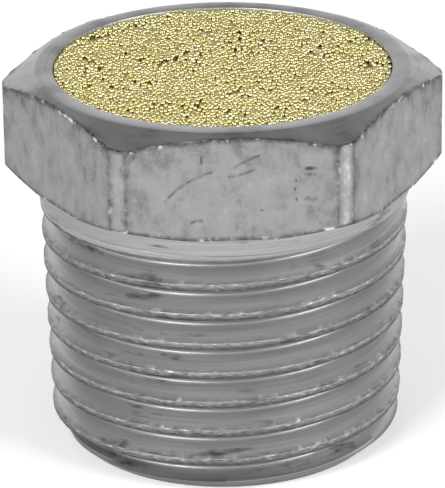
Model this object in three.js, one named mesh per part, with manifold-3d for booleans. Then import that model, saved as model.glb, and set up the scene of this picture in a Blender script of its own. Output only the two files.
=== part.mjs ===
// Pneumatic exhaust muffler, flush type: a turned hexagon body with a tapered pipe thread
// and a sintered bronze disc pressed into its top. Millimetres, +Z up along the pipe axis,
// origin at the centre of the thread end face. Two faces of the hexagon face -Y and +Y.
import * as THREE from "three";
import Module from "manifold-3d";
import { mergeVertices } from "three/addons/utils/BufferGeometryUtils.js";

// Hexagon head
const ACROSS_FLATS = 22.225; // a 7/8 inch spanner
const CORNER_RADIUS = 12.55; // the six corners are turned round to this radius
const HEX_BOTTOM = 16.15;
const HEX_TOP = 22.3;
const TOP_FACE_RADIUS = 10.65; // where the top chamfer starts
const TOP_CHAMFER = THREE.MathUtils.degToRad(23.3);
const BOTTOM_FACE_RADIUS = 11.33; // where the bottom chamfer starts
const BOTTOM_CHAMFER = THREE.MathUtils.degToRad(25.4);

// Plain band under the head, which the thread doesn't reach
const BAND_RADIUS = 10.7;
const BAND_BOTTOM = 15.08;
const BAND_STEP = 0.12;

// Tapered pipe thread, 14 turns to the inch, right-hand
const PITCH = 25.4 / 14;
const TAPER = 1 / 32; // radius gained per millimetre of height
const CREST_RADIUS_AT_END = 10.13;
const THREAD_DEPTH = 1.165;
const ROOT_HALF_WIDTH = 0.035;
const FLANK_SLOPE = Math.tan(THREE.MathUtils.degToRad(30)); // a 60 degree groove
const GROOVE_START = -1.9; // height of the groove's middle at +X, one turn below the end face
const FULL_TURNS = 8.95; // turns cut at full depth
const RUNOUT_TURNS = 0.25; // the tool leaves the metal over this much of a turn
const CUTTER_REACH = 0.27; // how far the groove's section stands clear of the crests

// Lead chamfer at the thread end, and the way through for the air
const END_FACE_RADIUS = 8.95;
const LEAD_SLOPE = 1.13; // radius gained per millimetre of height on the lead chamfer
const BORE_RADIUS = 7.4;
const BORE_BREAK = 0.3;
const SEAT_RADIUS = 9.66;
const SEAT_HEIGHT = 18.05;

// Sintered disc, standing a hair above the rim
const DISC_RADIUS = 9.62;
const DISC_TOP = 22.32;

const ROUND_SEGMENTS = 80;
const STEPS_PER_TURN = 40;
const CLEAR = 1; // how far a cutter passes the face it opens

const wasm = await Module();
wasm.setup();

function solid(geometry) {
  const bare = new THREE.BufferGeometry().setAttribute("position", geometry.getAttribute("position"));
  bare.setIndex(geometry.index);
  const merged = mergeVertices(bare, 1e-5);
  const mesh = new wasm.Mesh({
    numProp: 3,
    vertProperties: merged.attributes.position.array,
    triVerts: new Uint32Array(merged.index.array),
  });
  return new wasm.Manifold(mesh);
}

// A turned solid from its half section, given upwards as [radius, height] corners.
function turned(corners) {
  const profile = corners.map(([radius, height]) => new THREE.Vector2(radius, height));
  return solid(new THREE.LatheGeometry(profile, ROUND_SEGMENTS).rotateX(Math.PI / 2));
}

function tubeCutter(radius, bottom, top) {
  return turned([
    [0, bottom],
    [radius, bottom],
    [radius, top],
    [0, top],
  ]);
}

function crestRadius(height) {
  return CREST_RADIUS_AT_END + TAPER * height;
}

// The turned blank below the head, before the thread is cut.
function shankBlank() {
  const leadTop = (CREST_RADIUS_AT_END - END_FACE_RADIUS) / (LEAD_SLOPE - TAPER);
  const threadTop = BAND_BOTTOM - BAND_STEP;
  return turned([
    [0, 0],
    [END_FACE_RADIUS, 0],
    [crestRadius(leadTop), leadTop],
    [crestRadius(threadTop), threadTop],
    [BAND_RADIUS, BAND_BOTTOM],
    [BAND_RADIUS, HEX_BOTTOM + 0.5],
    [0, HEX_BOTTOM + 0.5],
  ]);
}

// The head: a six-sided prism inside a turned envelope that gives both chamfers and the
// rounded corners.
function head() {
  const height = HEX_TOP - HEX_BOTTOM;
  const cornerDistance = ACROSS_FLATS / 2 / Math.cos(Math.PI / 6);
  const prism = new THREE.CylinderGeometry(cornerDistance, cornerDistance, height, 6);
  prism.rotateY(Math.PI / 6);
  prism.rotateX(Math.PI / 2);
  prism.translate(0, 0, HEX_BOTTOM + height / 2);
  const bottomRise = (CORNER_RADIUS - BOTTOM_FACE_RADIUS) * Math.tan(BOTTOM_CHAMFER);
  const topDrop = (CORNER_RADIUS - TOP_FACE_RADIUS) * Math.tan(TOP_CHAMFER);
  const envelope = turned([
    [0, HEX_BOTTOM],
    [BOTTOM_FACE_RADIUS, HEX_BOTTOM],
    [CORNER_RADIUS, HEX_BOTTOM + bottomRise],
    [CORNER_RADIUS, HEX_TOP - topDrop],
    [TOP_FACE_RADIUS, HEX_TOP],
    [0, HEX_TOP],
  ]);
  return solid(prism).intersect(envelope);
}

// The thread groove: a 60 degree section swept along the taper, and lifted out of the metal
// over the last part of a turn.
function threadGroove() {
  const turns = FULL_TURNS + RUNOUT_TURNS;
  const steps = Math.round(turns * STEPS_PER_TURN);
  const reach = THREAD_DEPTH + CUTTER_REACH;
  const outerHalfWidth = ROOT_HALF_WIDTH + reach * FLANK_SLOPE;
  const points = [];
  for (let i = 0; i <= steps; i++) {
    const turn = (turns * i) / steps;
    const angle = 2 * Math.PI * turn;
    const height = GROOVE_START + PITCH * turn;
    const lift = (Math.max(0, turn - FULL_TURNS) / RUNOUT_TURNS) * (THREAD_DEPTH + BAND_STEP + 0.1);
    const root = crestRadius(height) - THREAD_DEPTH + lift;
    const section = [
      [root, height - ROOT_HALF_WIDTH],
      [root + reach, height - outerHalfWidth],
      [root + reach, height + outerHalfWidth],
      [root, height + ROOT_HALF_WIDTH],
    ];
    for (const [radius, z] of section) {
      points.push(radius * Math.cos(angle), radius * Math.sin(angle), z);
    }
  }
  const faces = [0, 1, 2, 0, 2, 3];
  for (let i = 0; i < steps; i++) {
    for (let side = 0; side < 4; side++) {
      const here = 4 * i + side;
      const next = 4 * i + ((side + 1) % 4);
      faces.push(here, here + 4, next + 4);
      faces.push(here, next + 4, next);
    }
  }
  const last = 4 * steps;
  faces.push(last, last + 2, last + 1, last, last + 3, last + 2);
  const geometry = new THREE.BufferGeometry();
  geometry.setAttribute("position", new THREE.Float32BufferAttribute(points, 3));
  geometry.setIndex(faces);
  return solid(geometry);
}

function bodySolid() {
  const passage = turned([
    [0, -CLEAR],
    [BORE_RADIUS + BORE_BREAK + CLEAR, -CLEAR],
    [BORE_RADIUS, BORE_BREAK],
    [BORE_RADIUS, SEAT_HEIGHT + CLEAR],
    [0, SEAT_HEIGHT + CLEAR],
  ]);
  const seat = tubeCutter(SEAT_RADIUS, SEAT_HEIGHT, HEX_TOP + CLEAR);
  return shankBlank().subtract(threadGroove()).add(head()).subtract(passage).subtract(seat);
}

function meshOf(name, shape, material) {
  const made = shape.getMesh();
  const geometry = new THREE.BufferGeometry();
  geometry.setAttribute("position", new THREE.BufferAttribute(made.vertProperties, 3));
  geometry.setIndex(new THREE.BufferAttribute(made.triVerts, 1));
  geometry.computeVertexNormals();
  const mesh = new THREE.Mesh(geometry, material);
  mesh.name = name;
  return mesh;
}

const aluminium = new THREE.MeshStandardMaterial({ color: 0x9c9ea1, metalness: 1, roughness: 0.45 });
const bronze = new THREE.MeshStandardMaterial({ color: 0xd9c27a, metalness: 1, roughness: 0.5 });

const muffler = new THREE.Group();
muffler.name = "pneumatic_muffler";
muffler.add(meshOf("threaded_hex_body", bodySolid(), aluminium));
muffler.add(meshOf("sintered_bronze_disc", tubeCutter(DISC_RADIUS, SEAT_HEIGHT, DISC_TOP), bronze));

export default muffler;
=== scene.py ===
# Looks of a flush pneumatic muffler: a machined aluminium body with a hexagon head and a
# tapered pipe thread, and a sintered bronze disc pressed into its top.
import math

import bpy
import numpy as np
from mathutils import Matrix, Vector, kdtree


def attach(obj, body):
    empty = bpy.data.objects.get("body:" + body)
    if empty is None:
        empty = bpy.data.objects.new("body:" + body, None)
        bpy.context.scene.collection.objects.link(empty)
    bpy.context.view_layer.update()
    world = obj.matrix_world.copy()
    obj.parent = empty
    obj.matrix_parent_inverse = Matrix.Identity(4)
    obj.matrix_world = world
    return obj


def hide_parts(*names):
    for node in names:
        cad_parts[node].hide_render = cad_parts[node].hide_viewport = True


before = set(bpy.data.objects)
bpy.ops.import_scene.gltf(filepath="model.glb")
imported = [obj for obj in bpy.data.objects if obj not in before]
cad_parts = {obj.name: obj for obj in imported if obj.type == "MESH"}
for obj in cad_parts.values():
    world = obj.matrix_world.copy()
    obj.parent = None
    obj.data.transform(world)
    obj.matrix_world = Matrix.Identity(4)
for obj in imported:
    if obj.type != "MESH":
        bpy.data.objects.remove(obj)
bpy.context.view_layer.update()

MM = 0.001

# Hexagon head, in millimetres above the thread end face
ACROSS_FLATS = 22.225
CORNER_RADIUS = 12.55
CORNER_EASE = 0.09
HEX_BOTTOM = 16.15
HEX_TOP = 22.3
TOP_FACE_RADIUS = 10.65
TOP_CHAMFER = math.tan(math.radians(23.3))
BOTTOM_FACE_RADIUS = 11.33
BOTTOM_CHAMFER = math.tan(math.radians(25.4))

# Shank: plain band, tapered thread, lead chamfer
BAND_RADIUS = 10.7
BAND_BOTTOM = 15.08
BAND_STEP = 0.12
PITCH = 25.4 / 14
TAPER = 1 / 32
CREST_RADIUS_AT_END = 10.13
THREAD_DEPTH = 1.165
FLANK = math.tan(math.radians(60))
ROOT_ROUND = 0.035
GROOVE_START = -1.9
FULL_TURNS = 8.95
RUNOUT_TURNS = 0.25
END_FACE_RADIUS = 8.95
LEAD_SLOPE = 1.13
LEAD_TOP = 1.1
EDGE_EASE = 0.03

# Air passage and the seat of the disc
BORE_RADIUS = 7.4
BORE_BREAK = 0.3
SEAT_RADIUS = 9.66
SEAT_HEIGHT = 18.05

# Sintered disc
DISC_RADIUS = 9.62
DISC_TOP = 22.32
GRAIN_RADIUS = 0.135
CORE_RADIUS = 9.6
CORE_BOTTOM = 18.2
CORE_TOP = DISC_TOP - 0.36

# Finishes of the body, in the order of its material slots
DRAWN, TURNED, THREADED = 0, 1, 2

rng = np.random.default_rng(14)


# ---------------------------------------------------------------- shared helpers


def linear(code):
    """A #rrggbb sRGB colour as linear RGBA."""
    parts = [int(code[i : i + 2], 16) / 255 for i in (1, 3, 5)]
    return [c / 12.92 if c <= 0.04045 else ((c + 0.055) / 1.055) ** 2.4 for c in parts] + [1.0]


def add_node(tree, kind, inputs=(), stops=(), **settings):
    """Adds one node with its settings. Its inputs, by name or in order, are values, sRGB codes,
    or the nodes or sockets that feed them. A colour ramp has stops of (position, colour)."""
    made = tree.nodes.new("ShaderNode" + kind)
    for name, value in settings.items():
        setattr(made, name, value)
    for place, value in inputs.items() if isinstance(inputs, dict) else enumerate(inputs):
        if isinstance(value, bpy.types.Node):
            value = value.outputs[0]
        if isinstance(value, bpy.types.NodeSocket):
            tree.links.new(value, made.inputs[place])
        else:
            made.inputs[place].default_value = linear(value) if isinstance(value, str) else value
    for _ in stops[2:]:
        made.color_ramp.elements.new(0.5)
    for element, (position, colour) in zip(made.color_ramp.elements if stops else (), stops):
        element.position = position
        element.color = linear(colour) if isinstance(colour, str) else colour
    return made


def new_material(name):
    material = bpy.data.materials.new(name)
    material.use_nodes = True
    material.node_tree.nodes.clear()
    return material, material.node_tree


def per_metre(size_mm):
    """The scale of a pattern whose cells are size_mm wide."""
    return 1 / (size_mm * MM)


def mesh_piece(name, points_mm, faces, materials, zones=None):
    """A mesh object from millimetre points, riding on the body, with one material per zone."""
    mesh = bpy.data.meshes.new(name)
    mesh.from_pydata((np.asarray(points_mm) * MM).tolist(), [], np.asarray(faces).tolist())
    for material in materials:
        mesh.materials.append(material)
    if zones is not None:
        mesh.polygons.foreach_set("material_index", np.asarray(zones, dtype=np.int32))
    mesh.polygons.foreach_set("use_smooth", np.ones(len(mesh.polygons), dtype=bool))
    mesh.update()
    piece = bpy.data.objects.new(name, mesh)
    bpy.context.scene.collection.objects.link(piece)
    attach(piece, "root")
    return piece


def point_attribute(piece, name, values):
    made = piece.data.attributes.new(name, "FLOAT", "POINT")
    made.data.foreach_set("value", np.asarray(values, dtype=np.float32))


def smooth_noise(around, knots, generator):
    """Seeded noise at places given as 0 to 1 round a closed ring, eased between `knots` values."""
    values = generator.uniform(-1, 1, knots)
    at = around * knots
    low = np.floor(at).astype(int)
    t = at - low
    t = t * t * (3 - 2 * t)
    return values[low % knots] * (1 - t) + values[(low + 1) % knots] * t


# ---------------------------------------------------------------- aluminium body


def ring_angles():
    """Angles round the body, closer together where a flat turns into a corner band."""
    edge = math.degrees(math.acos(ACROSS_FLATS / 2 / CORNER_RADIUS))
    flat = np.linspace(-edge + 0.5, edge - 0.5, 66)
    turn = np.array([edge - 0.28, edge - 0.12, edge, edge + 0.12, edge + 0.28])
    band = np.linspace(edge + 0.6, 60 - edge - 0.6, 4)
    sector = np.concatenate([flat, turn, band, 60 - turn[::-1]])
    degrees = np.concatenate([sector + 60 * k for k in range(6)])
    return np.radians(degrees - 90)


def off_flat_angle(angles):
    """Angle from the middle of the nearest flat."""
    return np.abs((angles + np.pi / 2 + np.pi / 6) % (np.pi / 3) - np.pi / 6)


def hexagon_radius(angles):
    """Distance from the axis to the head's side, with its vertical edges slightly rounded."""
    flat = ACROSS_FLATS / 2 / np.cos(off_flat_angle(angles))
    return 0.5 * (flat + CORNER_RADIUS - np.hypot(flat - CORNER_RADIUS, CORNER_EASE))


def crest_radius(height):
    """Radius of the taper that the crests lie on."""
    return CREST_RADIUS_AT_END + TAPER * height


def eased_corner(before, corner, after, reach):
    """Three rings that turn a sharp ring into a small round edge."""

    def towards(end):
        gap = end - corner
        length = np.maximum(np.linalg.norm(gap, axis=-1, keepdims=True), 1e-9)
        return corner + gap / length * np.minimum(reach, 0.45 * length)

    first, last = towards(before), towards(after)
    return [first, 0.25 * first + 0.5 * corner + 0.25 * last, last]


def thread_rows(angles):
    """The shank as rows that climb with the thread: radius, height and the state of the metal,
    for each point round the row. A row goes on where the row of the turn before it ends."""
    # Heights off the root's middle: close together at the root and at the crest's edges
    half = [0.05, 0.11, 0.28, 0.5, 0.69, 0.722, 0.752, 0.81]
    offsets = [-0.907] + [-offset for offset in reversed(half)] + [0.0] + half
    turns = 12
    along = (angles - angles[0]) / (2 * np.pi)
    start = GROOVE_START + PITCH * angles[0] / (2 * np.pi) - PITCH
    run = (np.arange(turns)[:, None] + along[None, :]) / turns
    edge_noise = [smooth_noise(run, turns * knots, rng) for knots in (170, 55, 170, 55)]
    crest_noise = smooth_noise(run, turns * 100, rng)
    rows = []
    for turn in range(turns):
        upper = 0.018 * edge_noise[0][turn] + 0.03 * edge_noise[1][turn]
        lower = 0.012 * edge_noise[2][turn] + 0.02 * edge_noise[3][turn]
        for offset in offsets:
            middle = start + PITCH * (turn + along)
            is_crest = abs(offset) > 0.7
            # The tool tore the crest: its two edges wander and stand up in small burrs
            wander = np.where(offset < 0, upper, lower) if is_crest else 0.0
            height = middle + offset + wander
            groove_turn = (middle - GROOVE_START) / PITCH
            lift = np.clip((groove_turn - FULL_TURNS) / RUNOUT_TURNS, 0, 1)
            root = crest_radius(middle) - THREAD_DEPTH + lift * (THREAD_DEPTH + BAND_STEP + 0.1)
            groove = root + (math.hypot(offset, ROOT_ROUND) - ROOT_ROUND) * FLANK
            blank = blank_radius(height)
            threaded = (height > LEAD_TOP) & (height < BAND_BOTTOM - BAND_STEP)
            if is_crest:
                blank = blank + 0.015 * crest_noise[turn] * threaded
            # The lower of groove and blank, with their meeting edge eased
            radius = 0.5 * (groove + blank - np.hypot(groove - blank, EDGE_EASE))
            below_end = np.clip((FULL_TURNS - 0.05 - groove_turn) / 0.3 + (offset < 0), 0, 1)
            torn = np.clip((groove - blank) / 0.05 + 0.9, 0, 1) * threaded * below_end
            # The root is smoothed by burnish, and the finish paints a highlight along it
            burnish_and_highlight = math.exp(-((offset / 0.05) ** 2)) * (groove < blank - 0.2)
            cut = np.maximum(groove < blank, threaded * below_end)
            # Distance from one root up its flank, over the crest and down to the next root
            across = -offset if offset <= 0 else PITCH - offset
            given = {"across": across, "torn": torn, "burnish_and_highlight": burnish_and_highlight, "cut": cut}
            rows.append((radius, height, given))
    return rows, len(offsets)


def blank_radius(height):
    """Outline of the turned shank before threading."""
    lead = END_FACE_RADIUS + LEAD_SLOPE * np.maximum(height, 0)
    cone = crest_radius(height)
    step = np.clip((height - (BAND_BOTTOM - BAND_STEP)) / BAND_STEP, 0, 1)
    step = step * step * (3 - 2 * step)
    cone = cone * (1 - step) + BAND_RADIUS * step
    return np.minimum(lead, cone)


def head_rings(angles):
    """Rings of (radius, height) from under the head over its flats, rim and seat and down the
    bore to the end face, each with its finish, and then the two edges of the flats."""
    side = hexagon_radius(angles)
    ones = np.ones(len(angles))

    def pair(radius, height):
        return np.stack([radius * ones, height * ones], axis=-1)

    low_rise = np.maximum(side - BOTTOM_FACE_RADIUS, 0) * BOTTOM_CHAMFER
    top_drop = np.maximum(side - TOP_FACE_RADIUS, 0) * TOP_CHAMFER
    around = (angles - angles[0]) / (2 * np.pi)
    burr = 0.03 * smooth_noise(around, 230, rng) + 0.03 * smooth_noise(around, 80, rng)
    under_edge = pair(np.minimum(side, BOTTOM_FACE_RADIUS), HEX_BOTTOM)
    low_edge = pair(side, HEX_BOTTOM + low_rise)
    clean_edge = pair(side, HEX_TOP - top_drop)
    high_edge = clean_edge + pair(0, burr)
    rim_edge = pair(TOP_FACE_RADIUS, HEX_TOP)
    seat_edge = pair(SEAT_RADIUS, HEX_TOP)
    low_ease = eased_corner(under_edge, low_edge, high_edge, 0.05)
    high_ease = eased_corner(low_edge, high_edge, rim_edge, 0.03)
    rim_ease = eased_corner(clean_edge, rim_edge, seat_edge, 0.1)
    seat_ease = eased_corner(rim_edge, seat_edge, pair(SEAT_RADIUS, 20), 0.05)
    flats = [low_edge + (high_edge - low_edge) * t for t in np.linspace(0.05, 0.95, 19)]
    chamfer = [clean_edge + (rim_edge - clean_edge) * t for t in (0.1, 0.3, 0.6, 0.85)]
    bore = [pair(SEAT_RADIUS, SEAT_HEIGHT), pair(BORE_RADIUS, SEAT_HEIGHT)]
    bore += [pair(BORE_RADIUS, height) for height in (12.0, 6.0, BORE_BREAK)]
    bore += [pair(BORE_RADIUS + BORE_BREAK, 0), pair(END_FACE_RADIUS, 0)]
    rings = [(pair(BAND_RADIUS, HEX_BOTTOM), TURNED), (under_edge, TURNED), (low_ease[0], TURNED)]
    rings += [(ring, DRAWN) for ring in low_ease[1:] + flats + high_ease[:2]]
    rings += [(ring, TURNED) for ring in high_ease[2:] + chamfer + rim_ease + seat_ease + bore]
    return rings, low_edge, high_edge


def head_edge_tones(angles, rings, low_edge, high_edge):
    """For each ring, how much darker the bar's skin is painted near the edges and corners of its
    flats, the painted highlight along each corner band, and how dark its edge lines are. Each mark
    fades over the millimetres that its distance is divided by."""
    band_edge = math.acos(ACROSS_FLATS / 2 / CORNER_RADIUS)
    off_flat = off_flat_angle(angles)
    beside_band = np.exp(-(((off_flat - band_edge) * CORNER_RADIUS / 0.13) ** 2))
    corner_gap = (np.pi / 6 - off_flat) * CORNER_RADIUS
    by_corner = np.exp(-np.maximum(corner_gap - 0.5, 0) / 0.7)
    # Painted highlight: each corner band is painted brighter along its middle, some more than others
    corner = np.floor((np.degrees(angles) + 90) / 60).astype(int) % 6
    highlight_by_corner = np.array([1.0, 0.55, 0.8, 0.6, 0.9, 0.4])[corner]
    around = (angles - angles[0]) / (2 * np.pi)
    uneven = 0.85 + 0.15 * smooth_noise(around, 400, rng)
    band_highlight = highlight_by_corner * np.exp(-((corner_gap / 0.33) ** 2)) * uneven
    found = []
    for ring, _ in rings:
        # Darker near the top and bottom edges of each flat and near its corners
        under_top = np.exp(-np.maximum(high_edge[:, 1] - ring[:, 1], 0) / 0.6)
        over_bottom = np.exp(-np.maximum(ring[:, 1] - low_edge[:, 1], 0) / 0.22)
        wear = np.clip(under_top + 0.8 * over_bottom + 0.7 * by_corner, 0, 1.3)
        wear = wear - band_highlight * (1.7 + wear)
        by_low = np.linalg.norm(ring - low_edge, axis=-1) / 0.12
        by_high = np.linalg.norm(ring - high_edge, axis=-1) / 0.12
        seam = np.exp(-(by_low**2)) + np.exp(-(by_high**2))
        on_side = (ring[:, 1] >= low_edge[:, 1] - 0.01) & (ring[:, 1] <= high_edge[:, 1] + 0.01)
        on_side &= ring[:, 0] > TOP_FACE_RADIUS
        found.append((wear, np.clip(seam + 0.55 * beside_band * on_side, 0, 1)))
    return found


def body_piece(materials):
    """The machined body as one closed mesh: helical rows for its shank, rings for the rest."""
    angles = ring_angles()
    count = len(angles)
    circle = np.stack([np.cos(angles), np.sin(angles)], axis=-1)
    points, faces, zones = [], [], []
    marks = {"across": [], "torn": [], "burnish_and_highlight": [], "cut": [], "edge_wear": [], "seam": []}

    def add_ring(radius, height, **given):
        first = len(points)
        points.extend(np.column_stack([circle * radius[:, None], height]))
        for name, values in marks.items():
            values.extend(np.broadcast_to(given.get(name, 0.0), count))
        return first

    def add_quad(a, b, c, d, zone):
        faces.extend([(a, b, c), (a, c, d)])
        zones.extend([zone, zone])

    # Shank: helical rows, cut off at the end face and under the head
    rows, per_turn = thread_rows(angles)
    firsts = []
    for radius, height, given in rows:
        radius = np.where(height <= 0, END_FACE_RADIUS, radius)
        radius = np.where(height >= HEX_BOTTOM, BAND_RADIUS, radius)
        firsts.append(add_ring(radius, np.clip(height, 0, HEX_BOTTOM), **given))
    for k in range(len(rows) - 1):
        for j in range(count):
            if j < count - 1:
                right = (firsts[k] + j + 1, firsts[k + 1] + j + 1)
            elif k + per_turn + 1 < len(rows):
                right = (firsts[k + per_turn], firsts[k + per_turn + 1])
            else:
                continue
            add_quad(firsts[k] + j, right[0], right[1], firsts[k + 1] + j, THREADED)

    rings, low_edge, high_edge = head_rings(angles)
    tones_and_highlights = head_edge_tones(angles, rings, low_edge, high_edge)
    travelled = 0.0
    last = None
    for (ring, zone), (wear, seam), (after, _) in zip(rings, tones_and_highlights, rings[1:] + rings[-1:]):
        here = add_ring(ring[:, 0], ring[:, 1], across=travelled, edge_wear=wear, seam=seam)
        travelled += float(np.linalg.norm(after - ring, axis=-1).mean())
        if last is not None:
            for j in range(count):
                n = (j + 1) % count
                add_quad(last + j, last + n, here + n, here + j, zone)
        last = here

    # Points that fell on each other become one, and faces with no area go
    points = np.round(np.array(points), 4)
    unique, first_at, merged = np.unique(points, axis=0, return_index=True, return_inverse=True)
    faces = merged.reshape(-1)[np.array(faces)]
    real = (faces[:, 0] != faces[:, 1]) & (faces[:, 1] != faces[:, 2]) & (faces[:, 2] != faces[:, 0])
    faces, zones = faces[real], np.array(zones)[real]
    piece = mesh_piece("machined_body", unique, faces, materials, zones)
    for name, values in marks.items():
        point_attribute(piece, name, np.array(values)[first_at])
    piece.data.set_sharp_from_angle(angle=math.radians(28))
    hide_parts("threaded_hex_body")


# ---------------------------------------------------------------- aluminium finishes


def tool_lines(tree, place, pitch_mm, run_mm, shift=0.6):
    """Noise drawn out into rings about the axis: lines pitch_mm apart, each run_mm long. The
    shift per height keeps one turn of the thread from repeating the next."""
    split = add_node(tree, "SeparateXYZ", [place])
    slid = [split.outputs[2], shift, split.outputs[0]]
    slid = add_node(tree, "Math", slid, operation="MULTIPLY_ADD")
    x = add_node(tree, "Math", [slid, per_metre(run_mm)], operation="MULTIPLY")
    y = add_node(tree, "Math", [split.outputs[1], per_metre(run_mm)], operation="MULTIPLY")
    across = add_node(tree, "Attribute", attribute_name="across").outputs["Fac"]
    depth = add_node(tree, "Math", [across, 1 / pitch_mm], operation="MULTIPLY")
    joined = add_node(tree, "CombineXYZ", [x, y, depth])
    return add_node(tree, "TexNoise", {"Vector": joined, "Scale": 1.0, "Detail": 4.0})


def finish_metal(tree, colour, roughness, height, depth_mm, strength=0.5):
    """Bare aluminium is fully metallic, and the tool's marks in it are depth_mm deep."""
    relief = {"Strength": strength, "Distance": depth_mm * MM, "Height": height}
    bump = add_node(tree, "Bump", relief)
    finish = {"Metallic": 1.0, "Base Color": colour, "Roughness": roughness, "Normal": bump}
    shader = add_node(tree, "BsdfPrincipled", finish)
    add_node(tree, "OutputMaterial", {"Surface": shader})


def darken_edges(tree, place, colour):
    """Darkens the seams round the flats, with bright nicks of burr left in them."""
    seam = add_node(tree, "Attribute", attribute_name="seam").outputs["Fac"]
    ragged = {"Vector": place, "Scale": per_metre(0.3846), "Detail": 3.0}
    ragged = add_node(tree, "TexNoise", ragged)
    ragged = add_node(tree, "Math", [ragged, 3.2, -0.85], operation="MULTIPLY_ADD")
    amount = add_node(tree, "Math", [seam, ragged], operation="MULTIPLY")
    amount = add_node(tree, "Clamp", {"Value": amount, "Max": 0.85})
    # Darker along the edge lines of the flats
    layers = {"Factor": amount, "A": colour, "B": "#4a4a4a"}
    edge_darkened = add_node(tree, "Mix", layers, data_type="RGBA").outputs["Result"]
    # Burr nicks up to 0.8 mm long
    nicks = {"Vector": place, "Scale": per_metre(0.7692), "Detail": 4.0}
    nicks = add_node(tree, "TexNoise", nicks)
    nicks = add_node(tree, "Math", [nicks, 11.0, -6.4], operation="MULTIPLY_ADD")
    shown = add_node(tree, "Math", [nicks, seam], operation="MULTIPLY")
    shown = add_node(tree, "Clamp", {"Value": shown, "Max": 0.9})
    layers = {"Factor": shown, "A": edge_darkened, "B": "#dcdcdc"}
    return add_node(tree, "Mix", layers, data_type="RGBA").outputs["Result"]


# Scratches on the front flat: three points each, in millimetres across the flat and up from the
# thread end
SCRATCHES = [
    ((-3.71, 18.5), (-2.74, 19.43), (-1.05, 20.22)),
    ((0.11, 20.43), (0.85, 20.85), (1.55, 21.13)),
    ((-0.22, 19.93), (0.55, 20.05), (1.27, 20.33)),
    ((-2.35, 17.2), (-2.1, 17.32), (-1.6, 17.35)),
]
SCRATCH_HALF_WIDTH = 0.15
# Dents there: place across and up, half width, half height
DENTS = [
    (4.32, 20.3, 0.36, 0.13),
    (4.3, 19.96, 0.3, 0.12),
    (4.3, 18.52, 0.34, 0.16),
    (3.5, 19.6, 0.06, 0.14),
    (3.52, 18.5, 0.07, 0.12),
    (3.45, 19.1, 0.05, 0.1),
    (-1.66, 20.9, 0.07, 0.28),
    (1.6, 17.9, 0.12, 0.06),
]


def circle_through(first, second, third):
    """Centre and radius of the circle through three points."""
    (ax, ay), (bx, by), (cx, cy) = first, second, third
    rows = 2 * np.array([[bx - ax, by - ay], [cx - ax, cy - ay]])
    level = np.array([bx**2 - ax**2 + by**2 - ay**2, cx**2 - ax**2 + cy**2 - ay**2])
    centre = np.linalg.solve(rows, level)
    return float(centre[0]), float(centre[1]), float(np.hypot(*(centre - first)))


def front_marks(tree, place):
    """Dark scratches and small dents on the flat that faces -Y: 0 where clean, 1 in a mark."""
    on_flat = add_node(tree, "Mapping", {"Vector": place, "Scale": (1 / MM, 0, 1 / MM)})
    x = add_node(tree, "SeparateXYZ", [on_flat])
    marks = []
    for ends in SCRATCHES:
        centre_x, centre_z, radius = circle_through(*ends)
        middle, half = (ends[0][0] + ends[2][0]) / 2, (ends[2][0] - ends[0][0]) / 2
        away = add_node(tree, "VectorMath", [on_flat, (centre_x, 0, centre_z)], operation="DISTANCE")
        off = add_node(tree, "Math", [away.outputs["Value"], radius], operation="SUBTRACT")
        off = add_node(tree, "Math", [off], operation="ABSOLUTE")
        line = add_node(tree, "Math", [off, -1 / SCRATCH_HALF_WIDTH, 0.85], operation="MULTIPLY_ADD")
        line = add_node(tree, "Math", [line, 0.0], operation="MAXIMUM")
        inside = add_node(tree, "Math", [x, middle, half], operation="COMPARE")
        marks.append(add_node(tree, "Math", [line, inside], operation="MULTIPLY"))
    for centre_x, centre_z, half_width, half_height in DENTS:
        off = add_node(tree, "VectorMath", [on_flat, (centre_x, 0, centre_z)], operation="SUBTRACT")
        share = (1 / half_width, 0, 1 / half_height)
        off = add_node(tree, "VectorMath", [off, share], operation="MULTIPLY")
        square = add_node(tree, "VectorMath", [off, off], operation="DOT_PRODUCT").outputs["Value"]
        mark = add_node(tree, "Math", [square, -0.9, 0.9 * 1.5], operation="MULTIPLY_ADD")
        marks.append(add_node(tree, "Math", [mark, 0.0], operation="MAXIMUM"))
    deepest = marks[0]
    for mark in marks[1:]:
        deepest = add_node(tree, "Math", [deepest, mark], operation="MAXIMUM")
    ragged = {"Vector": place, "Scale": per_metre(0.4), "Detail": 2.0}
    ragged = add_node(tree, "TexNoise", ragged)
    ragged = add_node(tree, "Math", [ragged, 2.6, -0.55], operation="MULTIPLY_ADD")
    worn = add_node(tree, "Math", [deepest, ragged], operation="MULTIPLY")
    depth = add_node(tree, "SeparateXYZ", [place]).outputs[1]
    front = (0.1 - ACROSS_FLATS / 2) * MM
    front = add_node(tree, "Math", [depth, front], operation="LESS_THAN")
    return add_node(tree, "Clamp", [add_node(tree, "Math", [worn, front], operation="MULTIPLY")])


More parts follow.
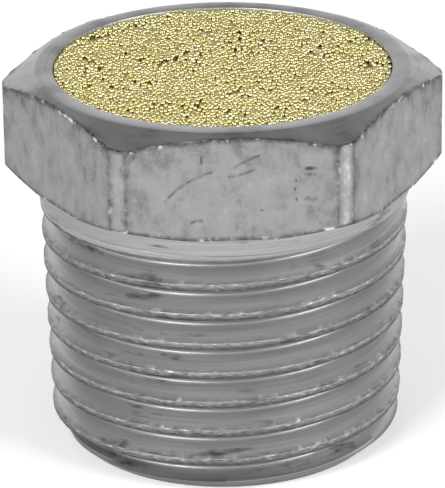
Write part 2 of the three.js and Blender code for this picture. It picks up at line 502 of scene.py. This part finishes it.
def drawn_aluminium():
    """Hexagon flats: the skin of cold-drawn aluminium bar. The eye sees a matt mid grey, faint
    streaks along the bar, and darker worn blotches and pits. The skin is painted darker near the
    edges and corners of the flats, and a painted highlight brightens each corner band."""
    material, tree = new_material("drawn_aluminium_bar")
    place = add_node(tree, "TexCoord").outputs["Object"]
    # Die lines 0.2 mm apart that run 3 mm up the flat
    along_bar = (per_metre(0.2), per_metre(0.2), per_metre(2.857))
    along_bar = add_node(tree, "Mapping", {"Vector": place, "Scale": along_bar})
    lines = add_node(tree, "TexNoise", {"Vector": along_bar, "Scale": 1.0, "Detail": 3.0})
    # Blotches 1.1 mm wide and 1.4 mm high, and speckle 0.2 mm across
    spread = (per_metre(1.1111), per_metre(1.1111), per_metre(1.4286))
    spread = add_node(tree, "Mapping", {"Vector": place, "Scale": spread})
    blotches = {"Vector": spread, "Scale": 1.0, "Detail": 6.0, "Roughness": 0.68}
    blotches = add_node(tree, "TexNoise", blotches)
    speckle = {"Vector": place, "Scale": per_metre(0.1923), "Detail": 2.0}
    speckle = add_node(tree, "TexNoise", speckle)
    # Darker near the edges and corners of the flats, with a painted highlight on the corner bands
    wear = add_node(tree, "Attribute", attribute_name="edge_wear").outputs["Fac"]
    skin_tone_and_highlight = add_node(tree, "Math", [wear, 0.2, blotches], operation="MULTIPLY_ADD")
    skin_tone_and_highlight = add_node(tree, "Math", [lines, 0.1, skin_tone_and_highlight], operation="MULTIPLY_ADD")
    skin_tone_and_highlight = add_node(tree, "Math", [speckle, 0.14, skin_tone_and_highlight], operation="MULTIPLY_ADD")
    greys = [(0.28, "#d4d4d4"), (0.42, "#a8a8a8"), (0.5, "#999999")]
    greys += [(0.66, "#919191"), (0.8, "#7e7e7e"), (0.96, "#565656")]
    skin = add_node(tree, "ValToRGB", [skin_tone_and_highlight], greys)
    marks = front_marks(tree, place)
    layers = {"Factor": marks, "A": darken_edges(tree, place, skin), "B": "#505050"}
    scored = add_node(tree, "Mix", layers, data_type="RGBA").outputs["Result"]
    rough = add_node(tree, "Math", [blotches, 0.2, 0.38], operation="MULTIPLY_ADD")
    height = add_node(tree, "Math", [lines, speckle], operation="ADD")
    height = add_node(tree, "Math", [marks, -1.5, height], operation="MULTIPLY_ADD")
    finish_metal(tree, scored, rough, height, 0.012)
    return material


def turned_aluminium():
    """Chamfers, rim and bore: faced on a lathe. The eye sees a smooth even grey with faint
    rings of the tool about the axis, and a little burr where a chamfer meets a flat."""
    material, tree = new_material("turned_aluminium")
    place = add_node(tree, "TexCoord").outputs["Object"]
    # Tool rings 0.1 mm apart, and haze in patches of 2.4 mm
    rings = tool_lines(tree, place, 0.1, 9.0)
    haze = {"Vector": place, "Scale": per_metre(2.381), "Detail": 4.0}
    haze = add_node(tree, "TexNoise", haze)
    tone = add_node(tree, "Math", [rings, 0.35, haze], operation="MULTIPLY_ADD")
    greys = [(0.5, "#a2a2a3"), (0.62, "#bababb"), (0.9, "#cececf")]
    faced = add_node(tree, "ValToRGB", [tone], greys)
    finish_metal(tree, darken_edges(tree, place, faced), 0.42, rings, 0.01, 0.3)
    return material


def threaded_aluminium():
    """Band, thread and lead chamfer: cut with a single point. The eye sees fine tool lines that
    follow the thread, a root with burnish and a painted highlight, flanks with painted light and
    shade, crests torn into matt metal with bright flecks, and painted shade on the lead chamfer."""
    material, tree = new_material("thread_cut_aluminium")
    place = add_node(tree, "TexCoord").outputs["Object"]
    # Tool lines 0.11 mm apart
    lines = tool_lines(tree, place, 0.11, 7.0, 4.0)
    plain = add_node(tree, "ValToRGB", [lines], [(0.3, "#929292"), (0.7, "#a7a7a7")])
    metal = add_node(tree, "ValToRGB", [lines], [(0.3, "#cbcbcb"), (0.7, "#e4e4e4")])
    # Torn flecks 0.1 mm high and 0.45 mm long
    flecks = tool_lines(tree, place, 0.1, 0.45)
    greys = [(0.32, "#6e6e6e"), (0.45, "#909090"), (0.62, "#a2a2a2"), (0.72, "#e2e2e2")]
    ripped = add_node(tree, "ValToRGB", [flecks], greys)
    torn = add_node(tree, "Attribute", attribute_name="torn").outputs["Fac"]
    layers = {"Factor": torn, "A": metal, "B": ripped}
    metal = add_node(tree, "Mix", layers, data_type="RGBA").outputs["Result"]
    # Painted light and shade: flanks lighter from the root up to the crest, crest darker below
    across = add_node(tree, "Attribute", attribute_name="across").outputs["Fac"]
    climb = add_node(tree, "Math", [across, 1 / PITCH], operation="MULTIPLY")
    greys = [(0.0, "#cacaca"), (0.05, "#cecece"), (0.36, "#fafafa"), (0.42, "#f2f2f2")]
    greys += [(0.5, "#c6c6c6"), (0.6, "#8c8c8c"), (1.0, "#cacaca")]
    shade = add_node(tree, "ValToRGB", [climb], greys)
    layers = {"Factor": 1.0, "A": metal, "B": shade}
    metal = add_node(tree, "Mix", layers, data_type="RGBA", blend_type="MULTIPLY").outputs["Result"]
    cut = add_node(tree, "Attribute", attribute_name="cut").outputs["Fac"]
    layers = {"Factor": cut, "A": plain, "B": metal}
    metal = add_node(tree, "Mix", layers, data_type="RGBA").outputs["Result"]
    # Patches of cutting oil burnt on, 0.6 mm high and 3.7 mm long, a few to the turn
    spread = (per_metre(3.7037), per_metre(3.7037), per_metre(0.625))
    spread = add_node(tree, "Mapping", {"Vector": place, "Scale": spread})
    patches = {"Vector": spread, "Scale": 1.0, "Detail": 5.0, "Roughness": 0.6}
    patches = add_node(tree, "TexNoise", patches)
    oil = add_node(tree, "ValToRGB", [patches], [(0.6, "#ffffff"), (0.72, "#8e8e8e")])
    layers = {"Factor": 1.0, "A": metal, "B": oil}
    metal = add_node(tree, "Mix", layers, data_type="RGBA", blend_type="MULTIPLY").outputs["Result"]
    # Painted shade: the lead chamfer is painted darker
    up = add_node(tree, "SeparateXYZ", [place]).outputs[2]
    up = add_node(tree, "Math", [up, per_metre(2.0)], operation="MULTIPLY")
    greys = [(0.0, "#a6a6a6"), (0.45, "#b6b6b6"), (0.62, "#ffffff")]
    low_shade = add_node(tree, "ValToRGB", [up], greys)
    layers = {"Factor": 1.0, "A": metal, "B": low_shade}
    metal = add_node(tree, "Mix", layers, data_type="RGBA", blend_type="MULTIPLY").outputs["Result"]
    # Painted highlight: the root, smoothed by burnish, is painted a bright grey
    burnish_and_highlight = add_node(tree, "Attribute", attribute_name="burnish_and_highlight").outputs["Fac"]
    layers = {"Factor": burnish_and_highlight, "A": metal, "B": "#cfcfcf"}
    metal = add_node(tree, "Mix", layers, data_type="RGBA").outputs["Result"]
    rough = add_node(tree, "Math", [torn, 0.1, 0.46], operation="MULTIPLY_ADD")
    rough = add_node(tree, "Math", [burnish_and_highlight, -0.12, rough], operation="MULTIPLY_ADD")
    height = add_node(tree, "Math", [torn, flecks], operation="MULTIPLY")
    height = add_node(tree, "Math", [height, 1.6, lines], operation="MULTIPLY_ADD")
    finish_metal(tree, metal, rough, height, 0.014)
    return material


# ---------------------------------------------------------------- sintered bronze disc


def packed_grains(count, radius_limit, generator):
    """Centres of round grains in a disc, pushed apart until they only just touch."""
    spread = np.sqrt(generator.uniform(0, 1, count)) * radius_limit
    turn = generator.uniform(0, 2 * np.pi, count)
    centres = np.column_stack([spread * np.cos(turn), spread * np.sin(turn)])
    radii = GRAIN_RADIUS * generator.uniform(0.86, 1.12, count)
    for _ in range(70):
        tree = kdtree.KDTree(count)
        for i, (x, y) in enumerate(centres):
            tree.insert((x, y, 0), i)
        tree.balance()
        first, second = [], []
        for i, (x, y) in enumerate(centres):
            for _, j, _ in tree.find_range((x, y, 0), 2.24 * GRAIN_RADIUS):
                if j > i:
                    first.append(i)
                    second.append(j)
        first, second = np.array(first), np.array(second)
        gap = centres[second] - centres[first]
        distance = np.maximum(np.linalg.norm(gap, axis=1), 1e-6)
        overlap = np.maximum(radii[first] + radii[second] - distance, 0)
        push = gap / distance[:, None] * (0.5 * overlap)[:, None]
        np.add.at(centres, second, push)
        np.add.at(centres, first, -push)
        out = np.linalg.norm(centres, axis=1)
        limit = radius_limit - radii
        centres *= np.minimum(1, limit / np.maximum(out, 1e-6))[:, None]
    return centres, radii


def dome_template(sides, rings, reach):
    """Points and faces of a unit dome that goes `reach` degrees down from its pole."""
    points, faces = [(0.0, 0.0, 1.0)], []
    for ring in range(1, rings + 1):
        polar = math.radians(reach) * ring / rings
        for side in range(sides):
            turn = 2 * math.pi * (side + 0.5 * (ring % 2)) / sides
            out = math.sin(polar)
            points.append((out * math.cos(turn), out * math.sin(turn), math.cos(polar)))
    for side in range(sides):
        faces.append((0, 1 + side, 1 + (side + 1) % sides))
    for ring in range(1, rings):
        near, far = 1 + (ring - 1) * sides, 1 + ring * sides
        for side in range(sides):
            n = (side + 1) % sides
            if ring % 2:
                faces += [(near + side, far + side, far + n), (near + side, far + n, near + n)]
            else:
                faces += [(near + side, far + side, near + n), (near + n, far + side, far + n)]
    return np.array(points), np.array(faces)


def grain_piece(name, centres, radii, heights, material, up, template):
    """Grains joined into one piece: the template's dome on each centre, facing up or down."""
    points, faces = template
    generator = np.random.default_rng(len(centres))
    turn = generator.uniform(0, 2 * np.pi, len(centres))
    cos, sin = np.cos(turn), np.sin(turn)
    x = points[None, :, 0] * cos[:, None] - points[None, :, 1] * sin[:, None]
    y = points[None, :, 0] * sin[:, None] + points[None, :, 1] * cos[:, None]
    z = np.broadcast_to(points[None, :, 2] * up, x.shape)
    placed = np.stack([x, y, z], axis=-1) * radii[:, None, None]
    placed[..., :2] += centres[:, None, :]
    placed[..., 2] += heights[:, None]
    order = faces if up > 0 else faces[:, ::-1]
    all_faces = order[None] + (np.arange(len(centres)) * len(points))[:, None, None]
    placed, all_faces = placed.reshape(-1, 3), all_faces.reshape(-1, 3)
    piece = mesh_piece(name, placed, all_faces, [material])
    point_attribute(piece, "grain", np.repeat(generator.uniform(0, 1, len(centres)), len(points)))
    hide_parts("sintered_bronze_disc")


def disc_pieces(grain, core):
    """Two layers of grains on the disc's top and one on its underside, over a solid core."""
    count = int(0.79 * (DISC_RADIUS / GRAIN_RADIUS) ** 2)
    centres, radii = packed_grains(count, DISC_RADIUS, rng)
    heights = DISC_TOP - radii - 0.09 * rng.uniform(0, 1, count)
    # One grain in twenty-five is missing, which leaves a dark pore
    kept = rng.uniform(0, 1, count) > 0.04
    centres, radii, heights = centres[kept], radii[kept], heights[kept]
    out = np.linalg.norm(centres, axis=1)
    template = dome_template(8, 3, 100)
    inner = out < DISC_RADIUS * 0.7
    for name, chosen in (("top_grains_inner", inner), ("top_grains_outer", ~inner)):
        grain_piece(name, centres[chosen], radii[chosen], heights[chosen], grain, 1, template)
    below, below_radii = packed_grains(count, DISC_RADIUS, rng)
    low = DISC_TOP - 0.27 - below_radii - 0.03 * rng.uniform(0, 1, count)
    grain_piece("second_layer_grains", below, below_radii, low, grain, 1, dome_template(6, 2, 80))
    count = int(0.84 * (BORE_RADIUS / GRAIN_RADIUS) ** 2)
    under, under_radii = packed_grains(count, BORE_RADIUS - 0.02, rng)
    heights = SEAT_HEIGHT + under_radii + 0.04 * rng.uniform(0, 1, count)
    grain_piece("underside_grains", under, under_radii, heights, grain, -1, dome_template(6, 3, 100))
    core_piece(core)


def core_piece(material):
    """The closed body of the disc under its loose top grains."""
    sides = 160
    angles = np.linspace(0, 2 * np.pi, sides + 1)[:-1]
    circle = np.column_stack([np.cos(angles), np.sin(angles)]) * CORE_RADIUS
    bottom = np.column_stack([circle, np.full(sides, CORE_BOTTOM)])
    top = np.column_stack([circle, np.full(sides, CORE_TOP)])
    points = np.concatenate([[(0, 0, CORE_BOTTOM)], bottom, top, [(0, 0, CORE_TOP)]])
    faces = []
    for j in range(sides):
        n = (j + 1) % sides
        low, low_next, high, high_next = 1 + j, 1 + n, 1 + sides + j, 1 + sides + n
        faces += [(0, low_next, low), (low, low_next, high_next)]
        faces += [(low, high_next, high), (len(points) - 1, high, high_next)]
    piece = mesh_piece("disc_core", points, faces, [material])
    piece.data.set_sharp_from_angle(angle=math.radians(30))
    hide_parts("sintered_bronze_disc")


def sintered_bronze():
    """Round bronze powder grains fused together: each is a small bright ball of pale gold, and
    its tint differs a little from that of the next."""
    material, tree = new_material("sintered_bronze_grains")
    place = add_node(tree, "TexCoord").outputs["Object"]
    grain = add_node(tree, "Attribute", attribute_name="grain").outputs["Fac"]
    # Grain tint drifts over areas of 2 mm as well as from grain to grain
    drift = {"Vector": place, "Scale": per_metre(2.0), "Detail": 2.0}
    drift = add_node(tree, "TexNoise", drift)
    tint = add_node(tree, "Math", [drift, 0.5, grain], operation="MULTIPLY_ADD")
    golds = [(0.154, "#cdc27f"), (0.462, "#ded59b"), (0.769, "#ece5b6"), (1.0, "#ddcf90")]
    gold = add_node(tree, "ValToRGB", [tint], golds)
    finish = {"Metallic": 1.0, "Roughness": 0.3, "Base Color": gold}
    shader = add_node(tree, "BsdfPrincipled", finish)
    add_node(tree, "OutputMaterial", {"Surface": shader})
    return material


def bronze_pores():
    """What shows between the grains: bronze deep in the disc, painted dark brown as shade, and
    roughened by heat.
    """
    material, tree = new_material("pore_shade_bronze")
    place = add_node(tree, "TexCoord").outputs["Object"]
    mottle = {"Vector": place, "Scale": per_metre(0.25), "Detail": 2.0}
    mottle = add_node(tree, "TexNoise", mottle)
    brown = add_node(tree, "ValToRGB", [mottle], [(0.0, "#3a2c16"), (1.0, "#6e5a30")])
    finish = {"Metallic": 1.0, "Roughness": 0.7, "Base Color": brown}
    shader = add_node(tree, "BsdfPrincipled", finish)
    add_node(tree, "OutputMaterial", {"Surface": shader})
    return material


# ---------------------------------------------------------------- studio


def white_table():
    """Matt white sheet, lit through from below like a light table: the eye sees no grain."""
    material, tree = new_material("matt_white_table")
    place = add_node(tree, "TexCoord").outputs["Object"]
    mottle = {"Vector": place, "Scale": per_metre(25), "Detail": 2.0}
    mottle = add_node(tree, "TexNoise", mottle)
    white = add_node(tree, "ValToRGB", [mottle], [(0.0, "#f4f4f4"), (1.0, "#f8f8f8")])
    finish = {"Roughness": 0.9, "Emission Color": "#ffffff", "Emission Strength": 0.25}
    finish["Base Color"] = white
    shader = add_node(tree, "BsdfPrincipled", finish)
    add_node(tree, "OutputMaterial", {"Surface": shader})
    return material


def studio():
    """A white table, walls that light all round, and two softboxes in front."""
    half = 1.5
    corners = [(-half, -half, 0), (half, -half, 0), (half, half, 0), (-half, half, 0)]
    mesh = bpy.data.meshes.new("table")
    mesh.from_pydata(corners, [], [(0, 1, 2, 3)])
    mesh.materials.append(white_table())
    table = bpy.data.objects.new("table", mesh)
    bpy.context.scene.collection.objects.link(table)

    world = bpy.data.worlds.new("studio")
    bpy.context.scene.world = world
    world.use_nodes = True
    tree = world.node_tree
    tree.nodes.clear()
    direction = add_node(tree, "TexCoord").outputs["Generated"]
    rise = add_node(tree, "SeparateXYZ", [direction]).outputs[2]
    # Bright walls, darker ceiling: brightness against the sine of the height above the horizon
    levels = [(0, 1.25), (0.39, 0.84), (0.55, 0.3), (0.7, 0.13), (0.85, 0.16), (1, 0.3)]
    stops = [(height, (level, level, level, 1)) for height, level in levels]
    shade = add_node(tree, "ValToRGB", [rise], stops)
    background = add_node(tree, "Background", {"Color": shade, "Strength": 1.0})
    add_node(tree, "OutputWorld", {"Surface": background})

    def softbox(name, azimuth, elevation, distance, width, height, power):
        """Degrees from the front and above the table, then metres and watts."""
        light = bpy.data.lights.new(name, "AREA")
        light.shape = "RECTANGLE"
        light.size, light.size_y, light.energy = width, height, power
        lamp = bpy.data.objects.new(name, light)
        turn, tilt = math.radians(azimuth), math.radians(elevation)
        target = Vector((0, 0, 0.012))
        out = math.cos(tilt)
        offset = Vector((math.sin(turn) * out, -math.cos(turn) * out, math.sin(tilt)))
        lamp.location = target + distance * offset
        lamp.rotation_euler = offset.to_track_quat("Z", "Y").to_euler()
        bpy.context.scene.collection.objects.link(lamp)

    softbox("left_softbox", -38, 28, 0.5, 0.22, 0.3, 1.9)
    softbox("right_softbox", 54, 28, 0.5, 0.22, 0.3, 1.6)


def bench_camera():
    """A long lens a little above the head, square to the front flat but for a small turn."""
    turn, rise, roll = math.radians(2.285), math.radians(23.126), math.radians(-0.651)
    distance, aim = 0.21968, Vector((-0.000113, 0, 0.011217))
    about = Matrix.Rotation(-turn, 3, "Z")
    back = about @ Vector((0, -math.cos(rise), math.sin(rise)))
    up = about @ Vector((0, math.sin(rise), math.cos(rise)))
    right = about @ Vector((1, 0, 0))
    across = math.cos(roll) * right + math.sin(roll) * up
    over = -math.sin(roll) * right + math.cos(roll) * up
    data = bpy.data.cameras.new("camera")
    data.sensor_width = 36
    data.lens = 279.6
    data.clip_start = 0.01
    camera = bpy.data.objects.new("camera", data)
    turned = Matrix((across, over, back)).transposed().to_4x4()
    camera.matrix_world = Matrix.Translation(about @ aim + distance * back) @ turned
    bpy.context.scene.collection.objects.link(camera)
    bpy.context.scene.camera = camera


bpy.context.scene.view_settings.view_transform = "Standard"
bench_camera()
studio()
body_piece([drawn_aluminium(), turned_aluminium(), threaded_aluminium()])
disc_pieces(sintered_bronze(), bronze_pores())
